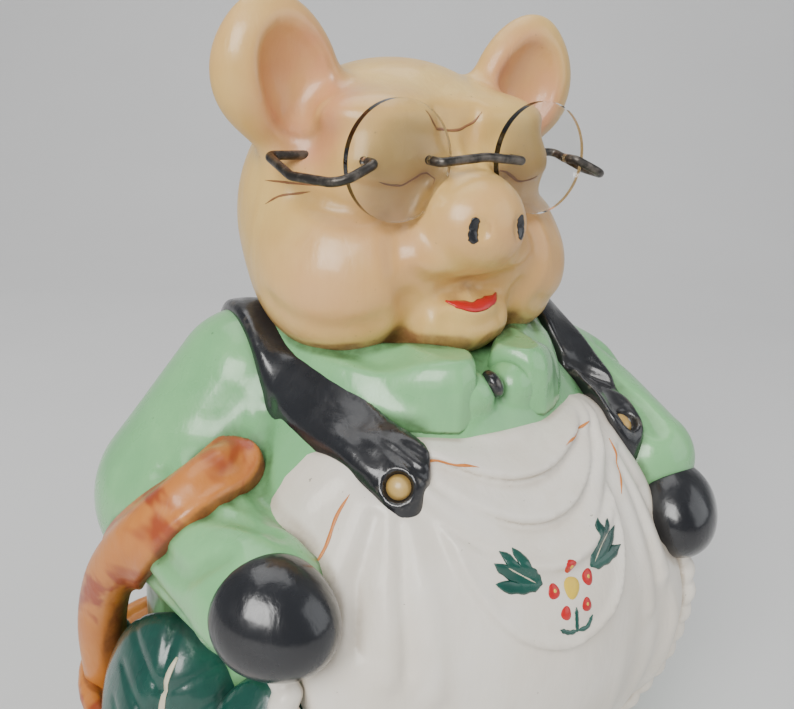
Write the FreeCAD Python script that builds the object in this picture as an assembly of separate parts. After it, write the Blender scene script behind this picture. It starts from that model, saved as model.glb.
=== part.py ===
import FreeCAD, Part
import math
import os

# A hollow cast and painted pig figure with loose wire spectacles.
# Millimetres. Z is up, the base stands on Z = 0, the pig faces -Y, +X is its own left.

Vector = FreeCAD.Vector

# ---- body ----
BODY_TOP = 118.0
# Height, half width, front and back of the body at each level.
BODY_STATIONS = (
    (0.0, 47.0, -45.0, 44.0),
    (24.0, 54.0, -53.0, 51.0),
    (BODY_TOP - 73.0, 60.0, -61.0, 54.0),
    (BODY_TOP - 58.0, 61.5, -64.0, 54.0),
    (BODY_TOP - 43.0, 60.0, -63.0, 52.0),
    (BODY_TOP - 31.0, 56.0, -58.0, 49.0),
    (BODY_TOP - 21.0, 51.5, -51.0, 45.0),
    (BODY_TOP - 11.0, 45.0, -41.5, 39.0),
    (BODY_TOP, 35.0, -28.0, 30.0),
)
RING_POINTS = 20
WALL = 6.0
NECK_BORE_R = 13.0
NECK_Y = 2.0
VENT_R = 12.0
VENT_Y = 20.0

# ---- head ----
HEAD_HALF_W = 36.0
HEAD_Z = BODY_TOP + 25.0
HEAD_CENTRE = Vector(0, 6, HEAD_Z)
HEAD_RADII = (HEAD_HALF_W, 28.5, 34.5)
CHEEK_CENTRE = Vector(18, -7.0, HEAD_Z - 9.0)
CHEEK_R = 18.5
EYELID_CENTRE = Vector(15, -12.5, HEAD_Z + 14.0)
EYELID_RADII = (9.0, 6.0, 7.0)
EAR_CENTRE = Vector(HEAD_HALF_W - 6.5, 2, HEAD_Z + 29.5)
EAR_RADII = (12.5, 6.5, 17.0)
EAR_LEAN = 24.0
EAR_HOLLOW = (9.0, 5.0, 12.5)
SNOUT_CENTRE = Vector(0, -19.0, HEAD_Z + 3.0)
SNOUT_RADII = (11.0, 14.0, 9.0)
NOSTRIL_X = 5.4
NOSTRIL_RADII = (1.5, 4.0, 3.2)
LIP_CENTRE = Vector(0, -23.5, HEAD_Z - 12.0)
LIP_RADII = (8.5, 5.0, 3.0)

# ---- clothes, each layer measured outward from the body ----
APRON_T = 2.2
SWAG_T = 3.8
POCKET_T = 4.2
RUFFLE_T = 5.0
STRAP_T = 4.8
COLLAR_T = 4.5
STRAP_W = 10.5
STRAP_Z = BODY_TOP - 34.0
STRAP_LINE = ((27.5, -46.5), (31.0, -33.0), (34.0, -12.0), (33.0, 12.0), (28.0, 34.0), (24.0, 60.0))
STRAP_BUTTON_R = 4.3
STRAP_BUTTON_H = 3.0
STRAP_BUTTON_Z = BODY_TOP - 12.0
COLLAR_LOW = BODY_TOP - 7.0
COLLAR_HIGH = BODY_TOP + 3.5
COLLAR_GAP = 7.0
COLLAR_RADIUS = 39.0
COLLAR_Y = -1.0
BLOUSE_BUTTON = Vector(0, -32.0, BODY_TOP - 3.5)
BLOUSE_BUTTON_R = 3.4
BIB_HALF = 25.0
BIB_Z = BODY_TOP - 9.5
BIB_SAG = 1.5
APRON_HALF = 48.0
APRON_WIDE_Z = BODY_TOP - 44.0
APRON_LOW = 20.0
RUFFLE_W = 6.0
SCALLOPS = 30
POCKET_HALF = 22.0
POCKET_TOP = BODY_TOP - 20.0
POCKET_LOW = BODY_TOP - 45.0

# ---- arms ----
TROTTER_R = 11.5
TROTTER_HALF_T = 7.5
RIGHT_UPPER = (Vector(-45, 4, BODY_TOP - 18.0), (16.5, 17.0, 18.0))
RIGHT_FORE = (Vector(-53, -20, BODY_TOP - 33.0), (12.5, 25.0, 13.0))
RIGHT_TROTTER = Vector(-53, -45, BODY_TOP - 35.0)
LEFT_UPPER = (Vector(43, -4, BODY_TOP - 15.0), (15.0, 18.0, 17.5))
LEFT_FORE = (Vector(48, -26, BODY_TOP - 24.0), (12.0, 19.0, 14.0))
LEFT_TROTTER = Vector(50, -45, BODY_TOP - 37.0)

# ---- basket ----
BASKET_CENTRE = (-52.0, -2.0)
BASKET_TOP = 46.0
BASKET_LOW = 0.0
BASKET_RADII = (25.0, 31.0)
BASKET_TAPER = 0.78
HANDLE_R = 5.0
HANDLE_PATH = (
    Vector(-44, -17, BODY_TOP - 19.0),
    Vector(-53, -13, BODY_TOP - 14.0),
    Vector(-64, -6, BODY_TOP - 21.0),
    Vector(-70, 1, BODY_TOP - 38.0),
    Vector(-72, 4, BASKET_TOP + 16.0),
    Vector(-70, 5, BASKET_TOP - 2.0),
)
LEAF_OUTER = (Vector(-62, -22, BASKET_TOP), (12.0, 17.0, 20.0))
LEAF_FRONT = (Vector(-49, -42, BASKET_TOP - 2.0), (17.0, 15.0, 18.0))
LEAF_BACK = (Vector(-67, 8, BASKET_TOP - 4.0), (10.0, 14.0, 17.0))

# ---- spectacles ----
LENS_R = 11.4
LENS_T = 1.6
LENS_INNER_X = 5.8
LENS_X = LENS_INNER_X + LENS_R
LENS_Y = -23.2
LENS_LOW = HEAD_Z + 4.8
LENS_Z = LENS_LOW + LENS_R
HOLE_INSET = 4.2
WIRE_R = 0.9
WIRE_BEND = 1.2
HINGE_BEND = 1.6
SIDE_BEND = 4.0
BRIDGE_BEND = 12.0
BRIDGE_BOW = 0.8
BRIDGE_RISE = 1.0
SOCKET_CLEARANCE = 0.08
HINGE_Y = -5.0
HINGE_Z = HEAD_Z + 15.5
SOCKET_DEPTH_X = HEAD_HALF_W - 11.0
TIP_X = SOCKET_DEPTH_X + 1.0
TEMPLE_X = HEAD_HALF_W
TEMPLE_STEP = 7.6
TEMPLE_DROP = 2.5
TEMPLE_FORWARD = 2.6
WIRE_END = 0.6


def ring(height, half_width, front, back):
    """One closed level of the body."""
    middle = (front + back) / 2
    depth = (back - front) / 2
    points = []
    for step in range(RING_POINTS):
        angle = 2 * math.pi * step / RING_POINTS
        points.append(
            Vector(half_width * math.cos(angle), middle + depth * math.sin(angle), height)
        )
    curve = Part.BSplineCurve()
    curve.interpolate(points, True)
    return Part.Wire(curve.toShape())


def body(grow, low, high):
    """The body form grown outward, running from one height to the other."""
    rings = []
    for height, half_width, front, back in BODY_STATIONS:
        level = low + height * (high - low) / BODY_TOP
        rings.append(ring(level, half_width + grow, front - grow, back + grow))
    return Part.makeLoft(rings, True, False)


def layer(thickness):
    """The body form with one layer of clothing on it."""
    return body(thickness, 0, BODY_TOP + thickness)


def ellipsoid(centre, radii, turn=None):
    """A ball stretched along X, Y and Z, then turned about its centre."""
    unit = 10.0
    ball = Part.makeSphere(unit)
    matrix = FreeCAD.Matrix()
    matrix.scale(radii[0] / unit, radii[1] / unit, radii[2] / unit)
    ball = ball.transformGeometry(matrix)
    if turn:
        ball.Placement = FreeCAD.Placement(Vector(0, 0, 0), turn)
    ball.translate(centre)
    return ball


def mirrored(vector, side):
    """The same place on the pig's left (side 1) or right (side -1)."""
    return Vector(vector.x * side, vector.y, vector.z)


def spline(points):
    """A smooth edge through the points."""
    curve = Part.BSplineCurve()
    curve.interpolate(points)
    return curve.toShape()


def prism(edges, along):
    """A solid drawn from a closed run of edges."""
    return Part.Face(Part.Wire(edges)).extrude(along)


def less(shape, others):
    """The shape with every other shape that touches it cut away."""
    for other in others:
        if shape.BoundBox.intersect(other.BoundBox):
            shape = shape.cut(other)
    return shape


def biggest(shape):
    """The largest solid of a shape."""
    return max(shape.Solids, key=lambda solid: solid.Volume)


def save(name, shape):
    """Write one piece."""
    shape.exportStep(os.path.join("parts", name + ".step"))


def neck_bore():
    """The round way from the body's hollow into the head's."""
    return Part.makeCylinder(NECK_BORE_R, 4 * WALL, Vector(0, NECK_Y, BODY_TOP - 1.5 * WALL))


def make_torso():
    """The hollow body, open at the neck and at the vent in its base."""
    outer = body(0, 0, BODY_TOP)
    inner = body(-WALL, WALL, BODY_TOP - WALL)
    vent = Part.makeCylinder(VENT_R, 2 * WALL, Vector(0, VENT_Y, -WALL / 2))
    return less(outer, [inner, neck_bore(), vent]), outer


def make_head(torso_form):
    """The hollow head with cheeks, eyelids and the two spectacle sockets."""
    outer = ellipsoid(HEAD_CENTRE, HEAD_RADII)
    for side in (-1, 1):
        outer = outer.fuse(Part.makeSphere(CHEEK_R, mirrored(CHEEK_CENTRE, side)))
        outer = outer.fuse(ellipsoid(mirrored(EYELID_CENTRE, side), EYELID_RADII))
    inner = ellipsoid(HEAD_CENTRE, [radius - WALL for radius in HEAD_RADII])
    shell = less(outer, [inner, torso_form, neck_bore()])
    for side in (-1, 1):
        start = Vector(side * SOCKET_DEPTH_X, HINGE_Y, HINGE_Z)
        bore = Part.makeCylinder(WIRE_R + SOCKET_CLEARANCE, 20, start, Vector(side, 0, 0))
        shell = shell.cut(bore)
    return biggest(shell), outer


def make_ear(side, head_form):
    """One pointed ear, hollowed on its front."""
    turn = FreeCAD.Rotation(Vector(0, 1, 0), side * EAR_LEAN)
    centre = mirrored(EAR_CENTRE, side)
    ear = ellipsoid(centre, EAR_RADII, turn)
    hollow = ellipsoid(centre + Vector(0, -EAR_RADII[1], 0), EAR_HOLLOW, turn)
    return biggest(less(ear, [head_form, hollow]))


def make_snout(head_form):
    """The blunt snout with two slit nostrils."""
    snout = less(ellipsoid(SNOUT_CENTRE, SNOUT_RADII), [head_form])
    for side in (-1, 1):
        front = SNOUT_CENTRE + Vector(side * NOSTRIL_X, -SNOUT_RADII[1] + 1.0, 1)
        snout = snout.cut(ellipsoid(front, NOSTRIL_RADII))
    return biggest(snout)


def make_collar(torso_form, head_form):
    """The turned-down collar, parted at the front."""
    high = COLLAR_HIGH - COLLAR_LOW
    reach = Part.makeCylinder(COLLAR_RADIUS, high, Vector(0, COLLAR_Y, COLLAR_LOW))
    sheet = layer(COLLAR_T).common(reach)
    corners = [
        Vector(0, 0, COLLAR_LOW - 1),
        Vector(COLLAR_GAP, -80, COLLAR_LOW - 1),
        Vector(-COLLAR_GAP, -80, COLLAR_LOW - 1),
        Vector(0, 0, COLLAR_LOW - 1),
    ]
    gap = Part.Face(Part.makePolygon(corners)).extrude(Vector(0, 0, 40))
    return biggest(less(sheet, [torso_form, head_form, gap]))


def apron_edge(widen):
    """The side and hem of the apron from its left bib corner round to the right one."""
    half = APRON_HALF + widen
    low = APRON_LOW - widen
    left = [
        Vector(BIB_HALF, 0, BIB_Z),
        Vector(half * 0.78, 0, BIB_Z - 4.5),
        Vector(half * 0.97, 0, BIB_Z - 16.5),
        Vector(half, 0, APRON_WIDE_Z),
        Vector(half * 0.94, 0, APRON_WIDE_Z - 24),
        Vector(half * 0.74, 0, low + 13),
        Vector(half * 0.38, 0, low + 3),
    ]
    right = [Vector(-point.x, 0, point.z) for point in reversed(left)]
    return left + [Vector(0, 0, low)] + right


def make_apron(torso_form):
    """The apron: bib, skirt and two draped swags."""
    edge = apron_edge(0)
    top = Part.Arc(edge[-1], Vector(0, 0, BIB_Z - BIB_SAG), edge[0]).toShape()
    outline = prism([spline(edge), top], Vector(0, -90, 0))
    sheet = layer(APRON_T).common(outline)
    for depth, wide in ((BIB_Z - 7.5, 24.0), (BIB_Z - 14.5, 27.0)):
        high = BIB_Z - 2.5
        upper = [Vector(wide, 0, high), Vector(0, 0, depth + 2), Vector(-wide, 0, high)]
        lower = [Vector(wide, 0, high - 2), Vector(0, 0, depth - 2), Vector(-wide, 0, high - 2)]
        edges = [
            Part.Arc(*upper).toShape(),
            Part.makeLine(upper[2], lower[2]),
            Part.Arc(*reversed(lower)).toShape(),
            Part.makeLine(lower[0], upper[0]),
        ]
        sheet = sheet.fuse(layer(SWAG_T).common(prism(edges, Vector(0, -90, 0))))
    return biggest(sheet.cut(torso_form))


def make_pocket(taken):
    """The rounded pocket on the apron."""
    left = Vector(POCKET_HALF, 0, POCKET_TOP)
    right = Vector(-POCKET_HALF, 0, POCKET_TOP)
    bottom = Part.Arc(left, Vector(0, 0, POCKET_LOW), right).toShape()
    top = Part.Arc(right, Vector(0, 0, POCKET_TOP - 8), left).toShape()
    outline = prism([bottom, top], Vector(0, -90, 0))
    return biggest(less(layer(POCKET_T).common(outline), taken))


def make_ruffle(taken):
    """The scalloped trim along the sides and hem of the apron."""
    curve = Part.BSplineCurve()
    curve.interpolate(apron_edge(0))
    length = curve.length()
    start = length * 0.2
    reach = length - 2 * start
    inner = []
    outer = []
    for step in range(2 * SCALLOPS + 1):
        at = curve.parameterAtDistance(start + reach * step / (2 * SCALLOPS), curve.FirstParameter)
        point = curve.value(at)
        tangent = curve.tangent(at)[0]
        normal = Vector(-tangent.z, 0, tangent.x)
        if normal.dot(point - Vector(0, 0, APRON_WIDE_Z)) < 0:
            normal = normal * -1
        width = RUFFLE_W if step % 2 else RUFFLE_W - 2
        inner.append(point - normal * 0.5)
        outer.append(point + normal * width)
    edges = [spline(inner), Part.makeLine(inner[-1], outer[-1])]
    for step in range(2 * SCALLOPS, 0, -2):
        edges.append(Part.Arc(outer[step], outer[step - 1], outer[step - 2]).toShape())
    edges.append(Part.makeLine(outer[0], inner[0]))
    outline = prism(edges, Vector(0, -90, 0))
    return biggest(less(layer(RUFFLE_T).common(outline), taken))


def make_strap(side, taken):
    """One shoulder strap with a rounded front end."""
    line = [Vector(side * x, y, 0) for x, y in STRAP_LINE]
    curve = Part.BSplineCurve()
    curve.interpolate(line)
    inner = []
    outer = []
    for step in range(9):
        at = curve.FirstParameter + (curve.LastParameter - curve.FirstParameter) * step / 8
        point = curve.value(at)
        tangent = curve.tangent(at)[0]
        normal = Vector(-tangent.y, tangent.x, 0)
        inner.append(point + normal * (STRAP_W / 2))
        outer.append(point - normal * (STRAP_W / 2))
    outer.reverse()
    edges = [
        spline(inner),
        Part.makeLine(inner[-1], outer[0]),
        spline(outer),
        Part.makeLine(outer[-1], inner[0]),
    ]
    high = BODY_TOP + 20
    band = prism(edges, Vector(0, 0, high))
    band = band.fuse(Part.makeCylinder(STRAP_W / 2, high, line[0]))
    band = band.common(Part.makeBox(200, 200, high, Vector(-100, -100, STRAP_Z)))
    return biggest(less(layer(STRAP_T).common(band), taken))


def make_strap_button(side, taken):
    """The domed button at the front end of a strap."""
    centre = Vector(side * STRAP_LINE[0][0], STRAP_LINE[0][1] + 1, STRAP_BUTTON_Z)
    turn = FreeCAD.Rotation(Vector(0, 0, 1), Vector(side * 0.35, -0.8, 0.5))
    radii = (STRAP_BUTTON_R, STRAP_BUTTON_R, STRAP_BUTTON_H)
    return biggest(less(ellipsoid(centre, radii, turn), taken))


def make_trotter(centre, side, taken):
    """One blunt front trotter."""
    turn = FreeCAD.Rotation(Vector(0, 0, 1), Vector(side * 0.33, -0.75, 0.5))
    radii = (TROTTER_R, TROTTER_R, TROTTER_HALF_T)
    return biggest(less(ellipsoid(centre, radii, turn), taken))


def make_arm(upper, fore, side, taken):
    """A puffed upper sleeve and forearm."""
    turn = FreeCAD.Rotation(Vector(0, 0, 1), side * -4)
    arm = ellipsoid(upper[0], upper[1]).fuse(ellipsoid(fore[0], fore[1], turn))
    return biggest(less(arm, taken))


def make_basket(taken):
    """The basket side standing out of the body."""
    x, y = BASKET_CENTRE
    wires = []
    for height, scale in ((BASKET_LOW, BASKET_TAPER), (BASKET_TOP, 1.0)):
        wide = BASKET_RADII[0] * scale
        deep = BASKET_RADII[1] * scale
        points = []
        for step in range(RING_POINTS):
            angle = 2 * math.pi * step / RING_POINTS
            points.append(Vector(x + wide * math.cos(angle), y + deep * math.sin(angle), height))
        curve = Part.BSplineCurve()
        curve.interpolate(points, True)
        wires.append(Part.Wire(curve.toShape()))
    return biggest(less(Part.makeLoft(wires, True, True), taken))


def make_handle(taken):
    """The basket handle over the forearm."""
    path = Part.Wire(spline(list(HANDLE_PATH)))
    direction = HANDLE_PATH[1] - HANDLE_PATH[0]
    profile = Part.Wire(Part.Circle(HANDLE_PATH[0], direction, HANDLE_R).toShape())
    bar = path.makePipeShell([profile], True, True)
    return biggest(less(Part.Solid(bar) if not bar.Solids else bar, taken))


def make_leaf(leaf, taken):
    """One broad leaf standing in the basket."""
    return biggest(less(ellipsoid(leaf[0], leaf[1]), taken))


def rod(points, bends, radius):
    """A round wire through the points, with a bend of its own radius at each inner one."""
    edges = []
    start = points[0]
    for before, corner, after, bend in zip(points[:-2], points[1:-1], points[2:], bends):
        back = (before - corner).normalize()
        on = (after - corner).normalize()
        turn = math.pi - back.getAngle(on)
        cut = bend * math.tan(turn / 2)
        middle = (back + on).normalize()
        centre = corner + middle * (bend / math.cos(turn / 2))
        edges.append(Part.makeLine(start, corner + back * cut))
        peak = centre - middle * bend
        edges.append(Part.Arc(corner + back * cut, peak, corner + on * cut).toShape())
        start = corner + on * cut
    edges.append(Part.makeLine(start, points[-1]))
    path = Part.Wire(edges)
    profile = Part.Wire(Part.Circle(points[0], points[1] - points[0], radius).toShape())
    return path.makePipeShell([profile], True, False)


def make_lens(side):
    """One clear disc drilled at both sides."""
    front = Vector(side * LENS_X, LENS_Y, LENS_Z)
    disc = Part.makeCylinder(LENS_R, LENS_T, front, Vector(0, 1, 0))
    for across in (-1, 1):
        start = front + Vector(across * (LENS_R - HOLE_INSET), -5, 0)
        disc = disc.cut(Part.makeCylinder(WIRE_R, 10, start, Vector(0, 1, 0)))
    return disc


def make_bridge():
    """The nose wire hooked through both lenses."""
    x = LENS_X - (LENS_R - HOLE_INSET)
    front = LENS_Y - TEMPLE_FORWARD
    back = LENS_Y + LENS_T + WIRE_END
    line = [
        Vector(-x, back, LENS_Z),
        Vector(-x, front, LENS_Z),
        Vector(0, front - BRIDGE_BOW, LENS_Z + BRIDGE_RISE),
        Vector(x, front, LENS_Z),
        Vector(x, back, LENS_Z),
    ]
    return rod(line, (WIRE_BEND, BRIDGE_BEND, WIRE_BEND), WIRE_R)


def make_temple(side):
    """The side wire from a head socket to the outer hole of a lens."""
    x = LENS_X + (LENS_R - HOLE_INSET)
    front = LENS_Y - TEMPLE_FORWARD
    low = HINGE_Z - TEMPLE_DROP
    line = [
        Vector(side * TIP_X, HINGE_Y, HINGE_Z),
        Vector(side * TEMPLE_X, HINGE_Y, HINGE_Z),
        Vector(side * TEMPLE_X, (HINGE_Y + front) / 2, low),
        Vector(side * (x + TEMPLE_STEP), front - 1.0, low),
        Vector(side * x, front, LENS_Z),
        Vector(side * x, LENS_Y + LENS_T + WIRE_END, LENS_Z),
    ]
    return rod(line, (HINGE_BEND, SIDE_BEND, SIDE_BEND, WIRE_BEND), WIRE_R)


def main():
    """Build every piece and write it out."""
    os.makedirs("parts", exist_ok=True)
    torso, torso_form = make_torso()
    head, head_form = make_head(torso_form)
    save("torso_shell", torso)
    save("head_shell", head)
    save("ear_right", make_ear(-1, head_form))
    save("ear_left", make_ear(1, head_form))
    snout = make_snout(head_form)
    save("snout", snout)
    lip = biggest(less(ellipsoid(LIP_CENTRE, LIP_RADII), [head_form, snout]))
    save("lower_lip", lip)
    collar = make_collar(torso_form, head_form)
    save("collar", collar)
    button = ellipsoid(BLOUSE_BUTTON, (BLOUSE_BUTTON_R, 3.0, BLOUSE_BUTTON_R))
    button = biggest(less(button, [torso_form, head_form, collar]))
    save("blouse_button", button)
    apron = make_apron(torso_form)
    save("apron", apron)
    pocket = make_pocket([torso_form, apron])
    save("apron_pocket", pocket)
    taken = [torso_form, head_form, collar, apron, pocket]
    straps = []
    for side, name in ((-1, "right"), (1, "left")):
        strap = make_strap(side, taken)
        save("strap_" + name, strap)
        stud = make_strap_button(side, taken + [strap])
        save("strap_button_" + name, stud)
        straps += [strap, stud]
    taken += straps
    ruffle = make_ruffle(taken)
    save("apron_ruffle", ruffle)
    taken.append(ruffle)
    for side, name, upper, fore, trotter in (
        (-1, "right", RIGHT_UPPER, RIGHT_FORE, RIGHT_TROTTER),
        (1, "left", LEFT_UPPER, LEFT_FORE, LEFT_TROTTER),
    ):
        arm = make_arm(upper, fore, side, taken)
        save("arm_" + name, arm)
        taken.append(arm)
        hoof = make_trotter(trotter, side, taken)
        save("trotter_" + name, hoof)
        taken.append(hoof)
    basket = make_basket(taken)
    save("basket", basket)
    taken.append(basket)
    handle = make_handle(taken)
    save("basket_handle", handle)
    taken.append(handle)
    leaves = (("leaf_front", LEAF_FRONT), ("leaf_outer", LEAF_OUTER), ("leaf_back", LEAF_BACK))
    for name, leaf in leaves:
        blade = make_leaf(leaf, taken)
        save(name, blade)
        taken.append(blade)
    for side, name in ((-1, "right"), (1, "left")):
        save("lens_" + name, make_lens(side))
        save("temple_wire_" + name, make_temple(side))
    save("bridge_wire", make_bridge())


main()
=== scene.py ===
import math

import bpy
import numpy as np
from mathutils import Matrix, Vector


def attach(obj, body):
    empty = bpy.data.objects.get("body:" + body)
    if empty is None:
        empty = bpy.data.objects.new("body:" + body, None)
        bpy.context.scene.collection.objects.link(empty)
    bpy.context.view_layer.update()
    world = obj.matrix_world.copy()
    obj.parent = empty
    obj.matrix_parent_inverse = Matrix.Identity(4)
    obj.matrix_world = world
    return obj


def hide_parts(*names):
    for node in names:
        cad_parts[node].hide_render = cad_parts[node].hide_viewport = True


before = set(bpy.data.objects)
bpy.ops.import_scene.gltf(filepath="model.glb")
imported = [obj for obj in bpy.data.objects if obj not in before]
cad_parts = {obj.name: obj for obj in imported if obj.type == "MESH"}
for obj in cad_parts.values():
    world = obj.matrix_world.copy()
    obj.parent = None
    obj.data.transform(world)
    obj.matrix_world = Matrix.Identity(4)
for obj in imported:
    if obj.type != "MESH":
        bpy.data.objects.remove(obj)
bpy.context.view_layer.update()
MM = 0.001
VIEW_AZIMUTH, VIEW_HEIGHT, VIEW_ROLL = -33, 19, 3
VIEW_PLACE = (-0.1038, -0.1585, 0.1767)
VIEW_LENS = 36 * 850 / 794
VENT_Y, VENT_R = 20, 12


# ---- sculpting fields: distances in millimetres, negative inside ----


def V(*numbers):
    return np.array(numbers, np.float32)


def unit(v):
    v = np.asarray(v, np.float32)
    return v / np.linalg.norm(v)


def frame_to(axis):
    """Rows of a turn that takes the third axis to the given one."""
    w = unit(axis)
    u = unit(np.cross((0, 0, 1) if abs(w[2]) < 0.95 else (1, 0, 0), w))
    return np.stack([u, np.cross(w, u), w])


def ell(p, c, r, turn=None):
    q = p - np.asarray(c, np.float32)
    if turn is not None:
        q = q @ turn.T.astype(np.float32)
    r = np.asarray(r, np.float32)
    k0 = np.sqrt(((q / r) ** 2).sum(1))
    k1 = np.sqrt(((q / r**2) ** 2).sum(1)) + 1e-9
    return k0 * (k0 - 1) / k1


def ball(p, c, r):
    return np.sqrt(((p - np.asarray(c, np.float32)) ** 2).sum(1)) - r


def cone(p, a, b, ra, rb):
    """A round bar whose radius runs from ra to rb."""
    a, b = np.asarray(a, np.float32), np.asarray(b, np.float32)
    ab = b - a
    t = np.clip((p - a) @ ab / (ab @ ab), 0, 1)
    return np.sqrt(((p - a - t[:, None] * ab) ** 2).sum(1)) - (ra + (rb - ra) * t)


def join(a, b, k):
    h = np.maximum(k - np.abs(a - b), 0) / k
    return np.minimum(a, b) - h * h * k / 4


def both(a, b, k):
    return -join(-a, -b, k)


def cut(a, b, k):
    return both(a, -b, k)


def swell(x, edge, width):
    """0 below edge, 1 above it, over the given width."""
    t = np.clip((x - edge) / width + 0.5, 0, 1)
    return t * t * (3 - 2 * t)


def hump(x, width):
    return np.exp(-((x / width) ** 2))


def near(p, points):
    """Distance from each point to a run of straight pieces."""
    best = np.full(len(p), 1e9, np.float32)
    points = np.asarray(points, np.float32)
    for a, b in zip(points[:-1], points[1:]):
        ab = b - a
        t = np.clip((p - a) @ ab / (ab @ ab + 1e-9), 0, 1)
        best = np.minimum(best, np.sqrt(((p - a - t[:, None] * ab) ** 2).sum(1)))
    return best


def outline(p, points):
    """Signed distance to a closed outline in the plane of two columns."""
    points = np.asarray(points, np.float32)
    best = np.full(len(p), 1e9, np.float32)
    inside = np.zeros(len(p), bool)
    for a, b in zip(points, np.roll(points, -1, 0)):
        ab = b - a
        t = np.clip((p - a) @ ab / (ab @ ab), 0, 1)
        best = np.minimum(best, np.sqrt(((p - a - t[:, None] * ab) ** 2).sum(1)))
        crosses = (a[1] > p[:, 1]) != (b[1] > p[:, 1])
        at = (b[0] - a[0]) * (p[:, 1] - a[1]) / (b[1] - a[1] + 1e-9) + a[0]
        inside ^= crosses & (p[:, 0] < at)
    return np.where(inside, -best, best)


def smooth_run(points, count=60):
    """A smooth curve through the points, evenly sampled."""
    points = np.asarray(points, float)
    grow = np.concatenate([[2 * points[0] - points[1]], points, [2 * points[-1] - points[-2]]])
    out = []
    for i in range(1, len(grow) - 2):
        p0, p1, p2, p3 = grow[i - 1 : i + 3]
        t = np.linspace(0, 1, 24, endpoint=False)[:, None]
        m1, m2 = (p2 - p0) / 2, (p3 - p1) / 2
        out.append(
            p1 * (2 * t**3 - 3 * t**2 + 1) + m1 * (t**3 - 2 * t**2 + t)
            + p2 * (-2 * t**3 + 3 * t**2) + m2 * (t**3 - t**2)
        )
    out = np.concatenate(out + [points[-1:]])
    along = np.concatenate([[0], np.cumsum(np.linalg.norm(np.diff(out, axis=0), axis=1))])
    want = np.linspace(0, along[-1], count)
    return np.stack([np.interp(want, along, out[:, i]) for i in range(out.shape[1])], 1)


class Chart:
    """A function of two columns, sampled once on a fine grid."""

    def __init__(self, function, low, high, step=0.35):
        self.low, self.step = np.asarray(low, np.float32), step
        n = np.ceil((np.asarray(high) - self.low) / step).astype(int) + 2
        at = np.indices(n).reshape(2, -1).T
        self.grid = function((self.low + at * step).astype(np.float32)).reshape(n).astype(np.float32)
        self.top = np.asarray(n, np.float32) - 1.001

    def __call__(self, q):
        t = np.clip((q - self.low) / self.step, 0, self.top)
        i = t.astype(np.int32)
        f = t - i
        g, a, b = self.grid, i[:, 0], i[:, 1]
        u, v = f[:, 0], f[:, 1]
        low = g[a, b] * (1 - v) + g[a, b + 1] * v
        high = g[a + 1, b] * (1 - v) + g[a + 1, b + 1] * v
        return low * (1 - u) + high * u


def slope(field, v, h):
    """The field and its gradient."""
    v = v.astype(np.float32)
    grad = np.empty((len(v), 3))
    for i in range(3):
        e = np.zeros(3, np.float32)
        e[i] = h
        grad[:, i] = (field(v + e) - field(v - e)) / (2 * h)
    return field(v), grad


def settle(field, v, rounds=6, h=0.15):
    """Moves points onto the surface and gives their outward normals."""
    v = np.asarray(v, float).copy()
    for _ in range(rounds):
        d, grad = slope(field, v, h)
        v -= np.clip(d, -2, 2)[:, None] * grad / np.maximum((grad**2).sum(1), 0.05)[:, None]
    grad = slope(field, v, h)[1]
    return v, grad / np.maximum(np.linalg.norm(grad, axis=1, keepdims=True), 1e-6)


def laid(field, runs):
    """Runs of points moved onto a surface, each with its depth and width."""
    out = []
    for points, deep, wide in runs:
        line = settle(field, smooth_run(points, 9), 14)[0].astype(np.float32)
        out.append((line, deep, wide))
    return out


def pressed(p, runs):
    """How deep the runs press in at each point."""
    depth = np.zeros(len(p), np.float32)
    for run, deep, wide in runs:
        here = ((p > run.min(0) - 3 * wide) & (p < run.max(0) + 3 * wide)).all(1)
        if here.any():
            depth[here] += deep * hump(near(p[here], run), wide)
    return depth


# The body's levels: height, half width, front, back.
LEVELS = np.array([
    (-6, 44, -42, 41), (0, 47, -45, 44), (24, 54, -53, 51), (45, 60, -61, 54), (60, 61.3, -63.8, 54),
    (75, 59.5, -62.8, 52), (87, 55.5, -57.5, 49), (97, 50, -50, 45), (107, 42, -41, 39),
    (113, 37, -34.5, 35), (118, 31, -27, 29), (123, 20, -17, 20), (127, 8, -5, 9),
])
LEVEL_CURVE = smooth_run(LEVELS, 260)


def torso(p):
    z = np.clip(p[:, 2], -6, 127)
    half, front, back = (
        np.interp(z, LEVEL_CURVE[:, 0], LEVEL_CURVE[:, i]).astype(np.float32) for i in (1, 2, 3)
    )
    slope = np.interp(z, LEVEL_CURVE[:, 0], np.gradient(LEVEL_CURVE[:, 1], LEVEL_CURVE[:, 0]))
    slope = np.clip(slope, -2, 2)
    mid, deep = (front + back) / 2, (back - front) / 2
    x, y = p[:, 0] / half, (p[:, 1] - mid) / deep
    k0 = np.sqrt(x * x + y * y) + 1e-9
    k1 = np.sqrt((x / half) ** 2 + (y / deep) ** 2) + 1e-9
    d = k0 * (k0 - 1) / k1 / np.sqrt(1 + slope**2)
    return np.maximum(d, p[:, 2] - 127).astype(np.float32)


def right_arm(p):
    arm = cone(p, (-34, 9, 107), (-49, 12, 84), 17, 18.5)
    fore = cone(p, (-52, 4, 83), (-52, -36, 85), 16.5, 12.5)
    return join(arm, fore, 7)


def left_arm(p):
    arm = cone(p, (33, 3, 107), (46, -1, 96), 16.5, 16.5)
    fore = cone(p, (47, -9, 97), (49, -35, 90), 15.5, 11.5)
    return join(arm, fore, 7)


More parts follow.
